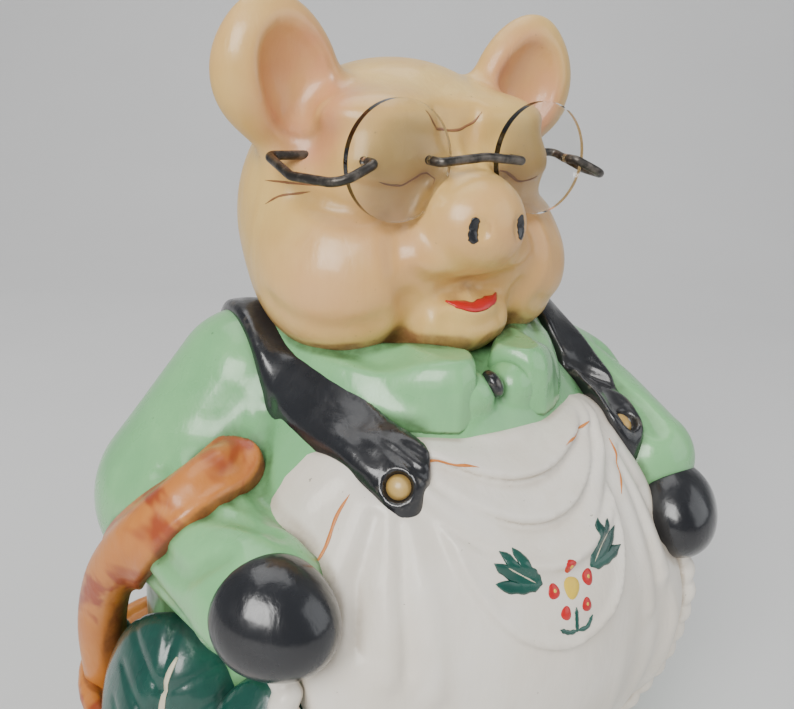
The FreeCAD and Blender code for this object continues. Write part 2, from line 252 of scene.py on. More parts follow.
def plain_blouse(p):
    """Body, sleeves and the soft shapes of the blouse on the chest."""
    d = join(torso(p), join(right_arm(p), left_arm(p), 2), 4.0)
    chest = join(
        ell(p, (-9.5, -30, 115), (11, 6.0, 6.0), frame_to((0.35, 0.3, 1))),
        ell(p, (9.0, -30, 115), (10, 6.0, 6.5), frame_to((-0.35, 0.3, 1))), 1.5)
    d = join(d, chest, 2.5)
    return join(d, ell(p, (0, -33, 108.0), (15, 5.5, 4.5)), 4)


# Creases where the sleeves bend and gather: points, depth, width.
SLEEVE_CREASES = laid(plain_blouse, (
    (((-40, -12, 110), (-46, -20, 101), (-46, -28, 96), (-42, -36, 92)), 2.3, 2.3),
    (((-52, -10, 101), (-52, -22, 98), (-48, -32, 95)), 1.7, 1.9),
    (((-60, -6, 98), (-58, -20, 95), (-53, -30, 95), (-49, -37, 94)), 1.9, 2.0),
    (((-65, -12, 92), (-63, -23, 88), (-60, -32, 88), (-56, -37, 91)), 1.9, 2.0),
    (((-68, -4, 84), (-66, -20, 80), (-62, -32, 80)), 1.7, 2.2),
    (((36, -20, 113), (43, -25, 106), (47, -31, 101), (47, -38, 96)), 1.8, 2.2),
    (((52, -12, 110), (58, -20, 102), (58, -30, 94)), 1.6, 2.3),
    (((60, -4, 104), (62, -16, 94), (60, -28, 86)), 1.3, 2.4),
))


def blouse(p):
    return plain_blouse(p) + pressed(p, SLEEVE_CREASES)


def skull(p):
    d = join(ell(p, (0, 6, 143), (35.5, 27.5, 34.3)), ell(p, (0, 10, 146), (33.5, 25, 30)), 4)
    for s in (-1, 1):
        d = join(d, ell(p, (s * 18.5, -5.5, 134), (18.2, 18.5, 17.5)), 7)
        d = join(d, ell(p, (s * 13, -15, 138.5), (11.5, 10.5, 9.5)), 4)
        d = join(d, ell(p, (s * 15.5, -11.5, 157.5), (10.5, 8.5, 8.0)), 3.5)
        d = join(d, ell(p, (s * 13, -8.5, 166.5), (13, 9, 5)), 5)
    d = join(d, ell(p, (0, -17.5, 126.5), (14.0, 11.5, 8.5)), 3)
    d = cut(d, ell(p, (0, -30, 166), (3.2, 13, 9)), 4)
    return d


def snout(p):
    tip = ell(p, (0, -22.5, 146.6), (11.4, 11.0, 9.6), None)
    root = cone(p, (0, -12, 149), (0, -23, 147.2), 12.5, 10.0)
    d = join(tip, root, 3)
    for s in (-1, 1):
        d = join(d, ell(p, (s * 8, -19, 139.5), (8, 8, 5)), 3)
    return d


def ear(p, s):
    turn = frame_to((s * 0.42, -0.05, 1.0))
    up = np.stack(
        [
            unit(np.cross((0, 1, 0), turn[2])),
            unit(np.cross(turn[2], unit(np.cross((0, 1, 0), turn[2])))), turn[2]
        ]
    )
    c = V(s * 29.5, 2, 172)
    d = ell(p, c, (12.2, 6.4, 17.0), up)
    d = join(d, ell(p, c + V(s * 6, 0, 1), (8.6, 5.6, 10.0)), 4)
    hollow = ell(p, c + V(-s * 1.5, -7.4, -0.5), (8.4, 7.2, 13.0), up)
    d = cut(d, hollow, 2.0)
    return d


def whole_head(p):
    """Skull, ears and snout before the creases go in."""
    d = skull(p)
    for s in (-1, 1):
        d = join(d, ear(p, s), 5)
    return join(d, snout(p), 3.2)


FACE_CREASES = []
for s in (-1, 1):
    FACE_CREASES += [
        (
            ((s * 11.5, -19, 152), (s * 16.5, -22, 146), (s * 17.5, -24, 139), (s * 14.5, -25, 132.5)),
            2.0, 2.3
        ),
        (((s * 14.5, -25, 132.5), (s * 13.5, -24, 127), (s * 14.5, -21, 121.5)), 1.6, 2.3),
        (((s * 19, -20, 150.5), (s * 26, -15, 149), (s * 31, -7, 151)), 1.0, 2.4),
        (((s * 7, -19, 155.5), (s * 15, -20, 152.8), (s * 23, -16, 154.2)), 1.0, 1.3),
        (((s * 21, -24, 128), (s * 28, -17, 127.5), (s * 33, -6, 131)), 0.7, 2.6),
    ]
FACE_CREASES += [
    (
        ((-14, -22, 138.0), (-8, -27.5, 134.6), (0, -29, 133.2), (8, -27.5, 134.6), (14, -22, 138.0)),
        2.0, 1.8
    ),
    (((-7, -28, 128.3), (0, -29, 127.2), (7, -28, 128.3)), 1.2, 1.7),
    (((-3.5, -21, 170), (-2.6, -22, 165), (-3.0, -22, 160)), 1.0, 1.6),
    (((3.5, -21, 170), (2.6, -22, 165), (3.0, -22, 160)), 1.0, 1.6),
]
FACE_CREASES = laid(whole_head, FACE_CREASES)


def head(p):
    d = whole_head(p) + pressed(p, FACE_CREASES)
    for s in (-1, 1):
        d = cut(d, ell(p, (s * 5.7, -33.2, 147.4), (1.35, 3.0, 2.7), frame_to((s * 0.22, 0.1, 1))), 0.8)
    return d


# ---- clothes and small shapes ----
APRON_EDGE = smooth_run(
    [(25, 108.5), (37, 104), (46.5, 92), (48, 74), (45, 50), (35.5, 33), (18, 23), (0, 20)], 22
)
APRON_LINE = np.concatenate([APRON_EDGE, APRON_EDGE[-2::-1] * (-1, 1)])
POCKET_LINE = smooth_run(
    [(-21.5, 97), (-20, 88), (-13.5, 79), (-4, 74.2), (4, 74.2), (13.5, 78), (19.5, 87), (21, 96)], 20
)
STRAP_LINES = {
    -1: smooth_run(
        [(-24.5, -40.5), (-28.5, -30.0), (-33.0, -12.0), (-32.5, 12.0), (-28.0, 34.0), (-24.0, 60.0)],
        26
    ),
    1: smooth_run(
        [(38.5, -35.5), (40.0, -26.0), (40.0, -12.0), (36.0, 10.0), (29.5, 34.0), (24.0, 60.0)], 26
    ),
}
POCKET_SHAPE = np.concatenate([POCKET_LINE, smooth_run([(15, 93), (0, 90.5), (-15, 93)], 8)])
APRON_GATHERS = (
    (((29, 99), (33, 88), (36, 74)), 1.2, 2.6),
    (((33, 100), (40, 90), (43, 80)), 1.3, 2.6),
    (((26, 96), (27, 84), (28, 70)), 0.9, 2.6),
    (((31.2, 98), (36.5, 88), (39.5, 78)), -0.8, 1.2),
    (((28, 97), (30.5, 86), (32, 74)), -0.7, 1.2),
)




def flare(x, z):
    """How far the skirt swings out at its sides."""
    return 7.0 * swell(np.abs(x), 38, 30) * swell(-z, -74, 30)


def drape(q):
    """How far the cloth stands off the body, with its swags, gathers and pocket."""
    x, z = q[:, 0], q[:, 1]
    t = np.full(len(q), 1.7, np.float32) + flare(x, z)
    for low, rise, high, wide in (
        (103.0, 0.0115, 1.9, 2.2), (96.5, 0.0150, 2.4, 2.6), (90.5, 0.0210, 1.4, 2.2)
    ):
        ridge = hump(z - low - rise * x * x, wide) * swell(-np.abs(x), -26, 8)
        t = t + high * ridge
        t = t - 1.3 * hump(z - low - rise * x * x - wide * 1.8, 1.2) * swell(-np.abs(x), -25, 8)
    for run, deep, wide in APRON_GATHERS:
        for s in (-1, 1):
            t = t + deep * hump(near(np.stack([x * s, z], 1), run), wide)
    pocket = outline(q, POCKET_SHAPE)
    t = t + 1.2 * swell(-pocket, 0.2, 1.4) + 0.7 * hump(pocket + 1.4, 1.2)
    hem = -outline(q, APRON_LINE)
    t = t + 0.7 * hump(hem - 1.6, 1.5) * swell(z, 98, 6)
    for place, high in ((40.0, 1.2), (30.0, 0.8), (17.0, 0.5)):
        for s in (-1, 1):
            t = t + high * hump(x * s - place - 0.05 * (60 - z), 3.0) * swell(-z, -66, 14)
    return t


DRAPE = Chart(drape, (-70, -5), (70, 130))
APRON_PLAN = Chart(lambda q: outline(q, APRON_LINE), (-80, -10), (80, 135))


def apron_relief(p):
    return DRAPE(p[:, [0, 2]])


def apron(p):
    sheet = torso(p) - apron_relief(p)
    edge = APRON_PLAN(p[:, [0, 2]])
    d = both(sheet, edge, 1.6)
    return np.maximum(np.maximum(d, p[:, 1] + 10), -torso(p) - 2.5)


STRAP_PLAN = {s: Chart(lambda q, s=s: near(q, STRAP_LINES[s]), (-75, -75), (75, 75)) for s in (-1, 1)}


def under_strap(p):
    """What the straps lie on."""
    return join(blouse(p), apron(p), 4)


def strap(p, s):
    """Side strap lying over the blouse and the bib."""
    across = STRAP_PLAN[s](p[:, :2]) - 5.2
    face = under_strap(p) - 2.0
    d = both(face, across, 1.6)
    return np.maximum(np.maximum(d, 85 - p[:, 2]), -face - 5)


LAPEL = smooth_run(
    [
        (2.0, -30), (7.5, -38.5), (13.5, -38.0), (22, -31.5), (29.5, -20), (33, -4), (31, 14),
        (18, 27), (0, 30), (0, 20), (14, 18), (23, 8), (24, -6), (18, -16), (10, -22), (2.0, -30)
    ],
    44
)[:-1]
LAPEL_PLAN = Chart(
    lambda q: outline(np.stack([np.abs(q[:, 0]), q[:, 1]], 1), LAPEL), (-60, -60), (60, 60)
)


def collar(p):
    """Two soft lapels parted over the button."""
    base = blouse(p)
    top = np.maximum(p[:, 2] - 123.0, 109 - p[:, 2])
    puff = 2.4 + 0.9 * hump(LAPEL_PLAN(p[:, :2]) + 3.2, 2.2)
    return np.maximum(both(base - puff, LAPEL_PLAN(p[:, :2]), 2.2), np.maximum(top, -base - 3))


def trotter(p, c, s):
    turn = frame_to((s * 0.33, -0.75, 0.5))
    r = 10.7 if s < 0 else 11.2
    d = ell(p, c, (r, r, 9.0), turn)
    d = join(d, ell(p, np.asarray(c) + V(-s * 3, -4.5, -1.5), (6.5, 6.5, 5.5), turn), 5)
    return d


def hem_curve(count):
    """The line that the ruffle follows, on the body's surface."""
    line = smooth_run([(48.5, 78), (50.5, 66), (49, 50), (41, 34), (27, 24), (0, 17.5)], count // 2 + 1)
    line = np.concatenate([line, line[-2::-1] * (-1, 1)])
    p = np.stack([line[:, 0], np.full(len(line), -40.0), line[:, 1]], 1).astype(np.float32)
    for _ in range(60):
        p[:, 1] += np.clip(torso(p) - flare(p[:, 0], p[:, 2]), -2, 2) * 0.8
    return p


RIGHT_HOOF = V(-53, -45, 86)
LEFT_HOOF = V(50, -45, 81)
HANDLE_LINE = smooth_run(
    [
        (-46, -13, 99), (-52.5, -16.5, 99.5), (-59.5, -18, 96), (-65.5, -14, 89), (-69, -7, 80),
        (-70.5, -1, 70), (-71, 3, 58), (-70, 5, 44)
    ],
    26
)


def handle(p):
    """A flat band that hugs the sleeve on its way down to the basket."""
    line = near(p, HANDLE_LINE)
    body = plain_blouse(p)
    over = both(body - 2.2, line - 7.0, 1.2)
    bar = np.maximum(line - 5.0, -body - 1)
    start = unit(HANDLE_LINE[2] - HANDLE_LINE[0])
    end = (V(*HANDLE_LINE[0]) - p) @ start - 0.5
    return both(join(over, bar, 2), end, 1.2)


# Leaves: centre, size, the way the tip points, the way the face looks.
LEAVES = (
    (V(-64, -23, 54), (18, 19, 8.0), (-0.10, -0.20, 1.0), (-0.70, -0.70, 0.30)),
    (V(-46, -45, 52), (18, 18, 8.0), (0.20, -0.10, 1.0), (-0.25, -0.92, 0.30)),
    (V(-69, 5, 43), (12, 15, 5.5), (-0.20, 0.15, 1.0), (-0.97, -0.10, 0.20)),
)


def leaf_frame(leaf):
    w = unit(leaf[3])
    v = np.asarray(leaf[2], np.float32)
    v = unit(v - w * (v @ w))
    return np.stack([np.cross(v, w), v, w])


def leaf_field(p, leaf):
    turn = leaf_frame(leaf)
    q = (p - leaf[0]) @ turn.T
    x, y = q[:, 0], q[:, 1]
    r = leaf[1]
    wave = 0.5 * np.sin(x * 0.38 + 0.8) * np.cos(y * 0.30) + 0.5 * np.cos(y * 0.24 + x * 0.15)
    z = q[:, 2] + 0.020 * x * x + wave
    k0 = np.sqrt((x / r[0]) ** 2 + (y / r[1]) ** 2 + (z / r[2]) ** 2)
    k1 = np.sqrt((x / r[0] ** 2) ** 2 + (y / r[1] ** 2) ** 2 + (z / r[2] ** 2) ** 2) + 1e-9
    d = k0 * (k0 - 1) / k1 * 0.9
    vein = hump(np.abs(x + 0.02 * y * y * 0.2), 1.3) * 0.8
    for side in (-1, 1):
        for start in (-8, -1, 6):
            run = ((0, start), (side * 11, start + 8))
            vein = vein + 0.35 * hump(near(q[:, :2], run), 0.9)
    return d + vein


BASKET_MID = (-52.0, -2.0)


def basket(p):
    """Woven side of the basket."""
    z = np.clip(p[:, 2], 0, 46)
    grow = 0.78 + 0.22 * z / 46
    x, y = p[:, 0] - BASKET_MID[0], p[:, 1] - BASKET_MID[1]
    a, b = 24.4 * grow, 30.4 * grow
    k0 = np.sqrt((x / a) ** 2 + (y / b) ** 2) + 1e-9
    k1 = np.sqrt((x / a**2) ** 2 + (y / b**2) ** 2) + 1e-9
    d = k0 * (k0 - 1) / k1
    around = np.arctan2(y / b, x / a)
    row = p[:, 2] / 5.2
    odd = np.floor(row) % 2
    weave = np.cos(around * 13 + odd * math.pi) * 0.8
    gap = 0.75 * hump((row - np.round(row)) * 5.2, 0.8)
    d = d - np.where(
        p[:, 2] < 40, weave * (1 - hump((row - np.round(row)) * 5.2, 1.0)), 0
    ) * 0.6 + np.where(p[:, 2] < 41, gap, 0)
    d = np.maximum(d, np.maximum(p[:, 2] - 44.5, 0.4 - p[:, 2]))
    rim = near(p, RIM_LINE) - 2.3
    return np.minimum(d, rim).astype(np.float32)


RIM_LINE = np.array(
    [
        (
            BASKET_MID[0] + 23.0 * math.cos(t), BASKET_MID[1] + 29.0 * math.sin(t), 43.5
        ) for t in np.linspace(0, 2 * math.pi, 40)
    ]
)


# ---- from fields to meshes ----
def nets(field, low, high, step):
    """A quad mesh of where the field is zero, pulled exactly onto it."""
    low = np.asarray(low, np.float32)
    block = 4
    n = np.ceil((np.asarray(high) - low) / step).astype(int) + 1
    nb = (n + block - 1) // block
    at = np.indices(nb).reshape(3, -1).T
    centre = low + (at * block + (block - 1) / 2) * step
    coarse = field(centre.astype(np.float32))
    live = np.abs(coarse) < block * step * 1.9
    whole = nb * block
    grid = np.repeat(
        np.repeat(np.repeat(np.sign(coarse).reshape(nb) * 99, block, 0), block, 1), block, 2
    )
    inner = np.indices((block,) * 3).reshape(3, -1).T
    spots = (at[live][:, None] * block + inner[None]).reshape(-1, 3)
    values = np.empty(len(spots), np.float32)
    for i in range(0, len(spots), 400000):
        values[i : i + 400000] = field((low + spots[i : i + 400000] * step).astype(np.float32))
    grid[spots[:, 0], spots[:, 1], spots[:, 2]] = values
    inside = grid < 0
    m = whole - 1
    corners = np.zeros(m, np.int8)
    for o in np.ndindex(2, 2, 2):
        corners += inside[o[0] : o[0] + m[0], o[1] : o[1] + m[1], o[2] : o[2] + m[2]]
    act = (corners > 0) & (corners < 8)
    ids = np.full(m, -1, np.int64)
    ids[act] = np.arange(act.sum())
    cell = np.argwhere(act)
    total = np.zeros((len(cell), 3))
    count = np.zeros(len(cell))
    for axis in range(3):
        e = np.eye(3, dtype=int)[axis]
        for o in np.ndindex(2, 2, 2):
            if o[axis]:
                continue
            a = cell + o
            d0 = grid[tuple(a.T)]
            d1 = grid[tuple((a + e).T)]
            hit = (d0 < 0) != (d1 < 0)
            t = np.where(hit, d0 / np.where(hit, d0 - d1, 1), 0)
            total += (a + t[:, None] * e) * hit[:, None]
            count += hit
    v = low + total / count[:, None] * step
    quads = []
    for axis in range(3):
        b, c = (axis + 1) % 3, (axis + 2) % 3
        e = np.eye(3, dtype=int)
        first = inside[tuple(slice(0, m[i]) for i in range(3))]
        second = inside[tuple(slice(1, m[i] + 1) if i == axis else slice(0, m[i]) for i in range(3))]
        change = first != second
        g = np.argwhere(change)
        g = g[(g[:, b] > 0) & (g[:, c] > 0)]
        q = np.stack(
            [
                ids[tuple((g - e[b] - e[c]).T)], ids[tuple((g - e[c]).T)], ids[tuple(g.T)],
                ids[tuple((g - e[b]).T)]
            ],
            1
        )
        out = first[tuple(g.T)]
        q[~out] = q[~out][:, ::-1]
        quads.append(q)
    quads = np.concatenate(quads)
    quads = quads[(quads >= 0).all(1)]
    for _ in range(3):
        d, grad = slope(field, v, 0.2 * step)
        move = d[:, None] * grad / np.maximum((grad**2).sum(1), 0.04)[:, None]
        size = np.linalg.norm(move, axis=1, keepdims=True)
        v = v - move * np.minimum(1, 0.6 * step / np.maximum(size, 1e-6))
    return v, quads


def lower(d, p, field, low, high):
    """Brings d down to the field near that field's box."""
    here = ((p > np.asarray(low) - 6) & (p < np.asarray(high) + 6)).all(1)
    if here.any():
        d[here] = np.minimum(d[here], field(p[here]))


def whole_figure(p):
    """Everything that can crowd a neighbour and cast painted shade into its creases."""
    d = plain_blouse(p).astype(np.float32)
    lower(d, p, head, (-46, -38, 116), (46, 38, 192))
    lower(d, p, apron, (-52, -70, 16), (52, -8, 112))
    lower(d, p, collar, (-38, -44, 108), (38, 34, 124))
    lower(d, p, lambda q: strap(q, -1), (-42, -52, 84), (-18, 50, 128))
    lower(d, p, lambda q: strap(q, 1), (18, -48, 84), (50, 50, 128))
    lower(d, p, handle, (-80, -26, 38), (-38, 14, 108))
    for c, s in ((RIGHT_HOOF, -1), (LEFT_HOOF, 1)):
        lower(d, p, lambda q: trotter(q, c, s), c - 13, c + 13)
    for leaf in LEAVES:
        lower(d, p, lambda q: leaf_field(q, leaf), leaf[0] - 20, leaf[0] + 20)
    return d


def piece(name, v, faces, material, nodes=(), body="figure", shade_and_wear=True, reach=2.6):
    """A finished mesh in metres that rides on its body."""
    mesh = bpy.data.meshes.new(name)
    v = np.asarray(v, float)
    mesh.from_pydata(
        (v * MM).tolist(), [], np.asarray(faces).tolist() if not isinstance(faces, list) else faces
    )
    mesh.polygons.foreach_set("use_smooth", [True] * len(mesh.polygons))
    mesh.update()
    if shade_and_wear:
        normals = np.empty(len(v) * 3, np.float32)
        mesh.vertices.foreach_get("normal", normals)
        normals = normals.reshape(-1, 3)
        points = (v + normals * reach).astype(np.float32)
        # Painted shade with some grime: darker where other surfaces of the figure crowd close in front
        # of each point.
        gap = np.clip((reach - whole_figure(points)) / reach, 0, 1)
        wide = np.clip(
            (
                reach * 2.2 - whole_figure((v + normals * reach * 2.2).astype(np.float32))
            ) / (reach * 2.2),
            0, 1
        )
        crease_shade_and_stain = np.clip(0.65 * gap + 0.5 * wide - 0.10, 0, 1)
        edge = bend(mesh, v, normals)
        for key, value in (("crease_shade_and_stain", crease_shade_and_stain), ("edge", edge)):
            data = mesh.attributes.new(key, "FLOAT", "POINT")
            data.data.foreach_set("value", value.astype(np.float32))
    obj = bpy.data.objects.new(name, mesh)
    bpy.context.scene.collection.objects.link(obj)
    obj.data.materials.append(material)
    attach(obj, body)
    if nodes:
        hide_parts(*nodes)
    return obj


def bend(mesh, v, normals):
    """How sharply the surface turns outward at each point, from 0 to 1."""
    pairs = np.empty(len(mesh.edges) * 2, np.int64)
    mesh.edges.foreach_get("vertices", pairs)
    pairs = pairs.reshape(-1, 2)
    value = np.zeros(len(v))
    count = np.zeros(len(v))
    span = np.linalg.norm(v[pairs[:, 1]] - v[pairs[:, 0]], axis=1) + 1e-6
    for a, b in ((0, 1), (1, 0)):
        rise = ((v[pairs[:, a]] - v[pairs[:, b]]) * normals[pairs[:, a]]).sum(1) / span**2
        np.add.at(value, pairs[:, a], rise)
        np.add.at(count, pairs[:, a], 1)
    value /= np.maximum(count, 1)
    for _ in range(3):
        total = value.copy()
        np.add.at(total, pairs[:, 0], value[pairs[:, 1]])
        np.add.at(total, pairs[:, 1], value[pairs[:, 0]])
        value = total / (count + 1)
    return np.clip(value * 4, 0, 1)


# ---- paint ----
class Nodes:
    """A short way to write a node tree."""

    def __init__(self, name):
        self.material = bpy.data.materials.new(name)
        self.material.use_nodes = True
        self.tree = self.material.node_tree
        self.shader = self.tree.nodes["Principled BSDF"]
        self.place = self.add("ShaderNodeTexCoord").outputs["Object"]

    def add(self, kind, **inputs):
        node = self.tree.nodes.new(kind)
        for key, value in inputs.items():
            self.put(node.inputs[key], value)
        return node

    def put(self, socket, value):
        if isinstance(value, bpy.types.NodeSocket):
            self.tree.links.new(value, socket)
        else:
            socket.default_value = value

    def noise(self, scale, detail=3.0, rough=0.5, stretch=None, distort=0.0):
        place = self.place
        if stretch:
            node = self.tree.nodes.new("ShaderNodeMapping")
            self.put(node.inputs["Vector"], place)
            node.inputs["Scale"].default_value = stretch
            node.inputs["Rotation"].default_value = (0.3, 0.5, 0.2)
            place = node.outputs["Vector"]
        node = self.add(
            "ShaderNodeTexNoise", Vector=place, Scale=scale, Detail=detail, Roughness=rough,
            Distortion=distort
        )
        return node.outputs["Fac"]

    def attribute(self, name):
        node = self.tree.nodes.new("ShaderNodeAttribute")
        node.attribute_name = name
        return node.outputs["Fac"]

    def math(self, operation, a, b=0.0, clamp=False):
        node = self.tree.nodes.new("ShaderNodeMath")
        node.operation = operation
        node.use_clamp = clamp
        self.put(node.inputs[0], a)
        self.put(node.inputs[1], b)
        return node.outputs[0]

    def ramp(self, value, low, high, to_low=0.0, to_high=1.0):
        node = self.add("ShaderNodeMapRange", Value=value)
        node.interpolation_type = "SMOOTHSTEP"
        node.inputs["From Min"].default_value = low
        node.inputs["From Max"].default_value = high
        node.inputs["To Min"].default_value = to_low
        node.inputs["To Max"].default_value = to_high
        return node.outputs["Result"]

    def mix(self, factor, a, b):
        node = self.tree.nodes.new("ShaderNodeMix")
        node.data_type = "RGBA"
        self.put(node.inputs[0], factor)
        self.put(node.inputs[6], a if isinstance(a, bpy.types.NodeSocket) else (*a, 1))
        self.put(node.inputs[7], b if isinstance(b, bpy.types.NodeSocket) else (*b, 1))
        return node.outputs[2]

    def bump(self, height, strength, depth):
        node = self.add("ShaderNodeBump", Height=height)
        node.inputs["Strength"].default_value = strength
        node.inputs["Distance"].default_value = depth
        self.put(self.shader.inputs["Normal"], node.outputs["Normal"])
        return node


def paint(
    name, base, shade, dark_shade_and_speck, rough=0.36, coat=0.25, crease_shade_and_stain=0.8, speck=0.5, chip=0.15, streak=0.25,
    warm=None, stroke=None
):
    """Brushed craft paint: drifting colour, strokes, specks, painted shade with some grime in creases,
    rubbed edges.
    """
    n = Nodes(name)
    drift = n.ramp(n.noise(38, 3, 0.55), 0.35, 0.68)
    colour = n.mix(n.math("MULTIPLY", drift, 0.8), base, shade)
    brush = n.ramp(n.noise(230, 4, 0.6, (1.0, 1.0, 0.22), 0.4), 0.42, 0.66)
    colour = n.mix(n.math("MULTIPLY", brush, streak), colour, shade)
    if warm is not None:
        patch = n.ramp(n.noise(24, 2, 0.5), 0.5, 0.72)
        colour = n.mix(n.math("MULTIPLY", patch, warm[3]), colour, warm[:3])
    if stroke is not None:
        bands = n.ramp(n.noise(stroke[3], 3, 0.6, stroke[4], 0.8), 0.50, 0.60)
        colour = n.mix(n.math("MULTIPLY", bands, stroke[5]), colour, stroke[:3])
    colour = n.mix(
        n.math("MULTIPLY", n.attribute("blush"), n.ramp(n.noise(60, 3, 0.6), 0.25, 0.7, 0.55, 1.0)),
        colour, (0.66, 0.27, 0.14)
    )
    # Creases are darkened toward a darker tone of the paint: painted shade, with some grime.
    crease = n.attribute("crease_shade_and_stain")
    broken = n.ramp(n.noise(160, 4, 0.65), 0.30, 0.70, 0.45, 1.0)
    shade_stain_mask = n.math("MULTIPLY", n.ramp(crease, 0.16, 0.75), broken)
    colour = n.mix(n.math("MULTIPLY", shade_stain_mask, crease_shade_and_stain, True), colour, dark_shade_and_speck)
    spots = n.ramp(n.noise(900, 2, 0.5), 0.735, 0.77)
    cluster = n.ramp(n.noise(70, 2, 0.5), 0.42, 0.66)
    spots = n.math("MULTIPLY", n.math("MULTIPLY", spots, cluster), speck)
    colour = n.mix(spots, colour, [c * 0.35 for c in dark_shade_and_speck])
    rub = n.math(
        "MULTIPLY", n.ramp(n.attribute("edge"), 0.25, 0.8), n.ramp(n.noise(330, 4, 0.7), 0.52, 0.62)
    )
    colour = n.mix(n.math("MULTIPLY", rub, chip), colour, (0.62, 0.55, 0.44))
    n.put(n.shader.inputs["Base Color"], colour)
    dull = n.math("MULTIPLY", n.ramp(n.noise(120, 3, 0.6), 0.3, 0.75), 0.20)
    n.put(
        n.shader.inputs["Roughness"],
        n.math("ADD", n.math("ADD", dull, rough), n.math("MULTIPLY", shade_stain_mask, 0.25), True)
    )
    n.shader.inputs["Coat Weight"].default_value = coat
    n.shader.inputs["Coat Roughness"].default_value = 0.12
    height = n.math(
        "ADD", n.math("MULTIPLY", n.noise(300, 3, 0.55, (1.0, 1.0, 0.35), 0.3), 1.0),
        n.math("MULTIPLY", n.noise(85, 2, 0.5), 1.6)
    )
    height = n.math("SUBTRACT", height, n.math("MULTIPLY", spots, 0.6))
    n.bump(height, 0.35, 0.0006)
    return n.material


def build_strokes(name, runs, field, material, lift=0.10, thick=0.16):
    """Dabs and lines of paint lying on a surface, each with its own length and width."""
    verts, faces = [], []
    for points, width, taper in runs:
        line = smooth_run(points, max(8, int(len(points) * 6)))
        centre, normal = settle(field, line)
        tangent = np.gradient(centre, axis=0)
        tangent /= np.linalg.norm(tangent, axis=1, keepdims=True) + 1e-9
        side = np.cross(normal, tangent)
        side /= np.linalg.norm(side, axis=1, keepdims=True) + 1e-9
        t = np.linspace(0, 1, len(centre))
        head_w, tail_w = taper
        w = width / 2 * np.clip(np.minimum(head_w + 5 * t, tail_w + 5 * (1 - t)), 0.02, 1)
        w = w * (1 + 0.10 * np.sin(t * 23 + len(verts)))
        ring = 8
        start = len(verts)
        for i in range(len(centre)):
            for j in range(ring):
                a = 2 * math.pi * j / ring
                verts.append((centre[i] + side[i] * w[i] * math.cos(a), math.sin(a)))
        for i in range(len(centre) - 1):
            for j in range(ring):
                k = (j + 1) % ring
                faces.append(
                    [
                        start + i * ring + j, start + i * ring + k, start + (i + 1) * ring + k,
                        start + (i + 1) * ring + j
                    ]
                )
        faces.append([start + j for j in reversed(range(ring))])
        faces.append([start + (len(centre) - 1) * ring + j for j in range(ring)])
    base = np.array([v[0] for v in verts])
    up = np.array([v[1] for v in verts])
    base, normal = settle(field, base, 4)
    v = base + normal * (lift + thick * up)[:, None]
    return piece(name, v, faces, material, shade_and_wear=False)


def field_piece(name, field, low, high, step, material, nodes=(), reach=2.6):
    v, q = nets(field, low, high, step)
    return piece(name, v, q, material, nodes, reach=reach)


# ---- the paints ----
skin = paint(
    "skin_paint", (0.78, 0.52, 0.165), (0.66, 0.385, 0.105), (0.26, 0.11, 0.04), 0.32, 0.28, 0.90, 0.45,
    0.10, 0.22, (0.80, 0.40, 0.22, 0.45)
)
mint = paint(
    "blouse_paint", (0.235, 0.55, 0.235), (0.17, 0.45, 0.185), (0.07, 0.16, 0.055), 0.24, 0.45, 0.95,
    0.6, 0.10, 0.25
)
cream = paint(
    "apron_paint", (0.84, 0.79, 0.70), (0.76, 0.69, 0.58), (0.36, 0.27, 0.17), 0.36, 0.22, 0.62, 0.55,
    0.02, 0.30
)
black = paint(
    "black_paint", (0.008, 0.008, 0.010), (0.013, 0.014, 0.017), (0.006, 0.006, 0.006), 0.20, 0.55, 0.3,
    0.0, 0.10, 0.3
)
green = paint(
    "leaf_paint", (0.004, 0.050, 0.038), (0.006, 0.085, 0.060), (0.004, 0.015, 0.010), 0.22, 0.55, 0.6,
    0.1, 0.04, 0.4
)
brown = paint(
    "basket_paint", (0.60, 0.22, 0.040), (0.50, 0.15, 0.025), (0.16, 0.05, 0.015), 0.34, 0.3, 0.8, 0.4,
    0.08, 0.3, None, (0.30, 0.035, 0.008, 75, (1.0, 0.35, 0.6), 0.85)
)
gold = paint(
    "gold_paint", (0.55, 0.36, 0.10), (0.42, 0.24, 0.05), (0.15, 0.08, 0.02), 0.32, 0.3, 0.6, 0.3, 0.05,
    0.6
)
line_brown = paint(
    "line_paint", (0.20, 0.085, 0.03), (0.30, 0.13, 0.05), (0.1, 0.04, 0.02), 0.45, 0.1, 0.2, 0.0, 0.0,
    0.8
)
orange = paint(
    "orange_paint", (0.72, 0.26, 0.05), (0.60, 0.18, 0.03), (0.2, 0.08, 0.02), 0.42, 0.1, 0.2, 0.0, 0.0,
    0.8
)
red = paint(
    "red_paint", (0.60, 0.012, 0.012), (0.45, 0.008, 0.01), (0.1, 0.01, 0.01), 0.28, 0.35, 0.3, 0.0,
    0.0, 0.4
)
vein = paint(
    "vein_paint", (0.72, 0.66, 0.48), (0.60, 0.54, 0.38), (0.2, 0.15, 0.08), 0.40, 0.2, 0.3, 0.2, 0.0,
    0.6
)
yellow = paint(
    "yellow_paint", (0.80, 0.58, 0.05), (0.70, 0.46, 0.04), (0.3, 0.15, 0.02), 0.36, 0.2, 0.3, 0.0, 0.0,
    0.5
)


def wire_finish():
    n = Nodes("wire_finish")
    tone = n.ramp(n.noise(420, 4, 0.6), 0.40, 0.66)
    n.put(n.shader.inputs["Base Color"], n.mix(tone, (0.055, 0.050, 0.045), (0.16, 0.14, 0.12)))
    n.put(n.shader.inputs["Roughness"], n.ramp(n.noise(260, 3, 0.6), 0.3, 0.7, 0.30, 0.55))
    n.shader.inputs["Metallic"].default_value = 0.85
    n.bump(n.noise(1500, 3, 0.6), 0.3, 0.0001)
    return n.material


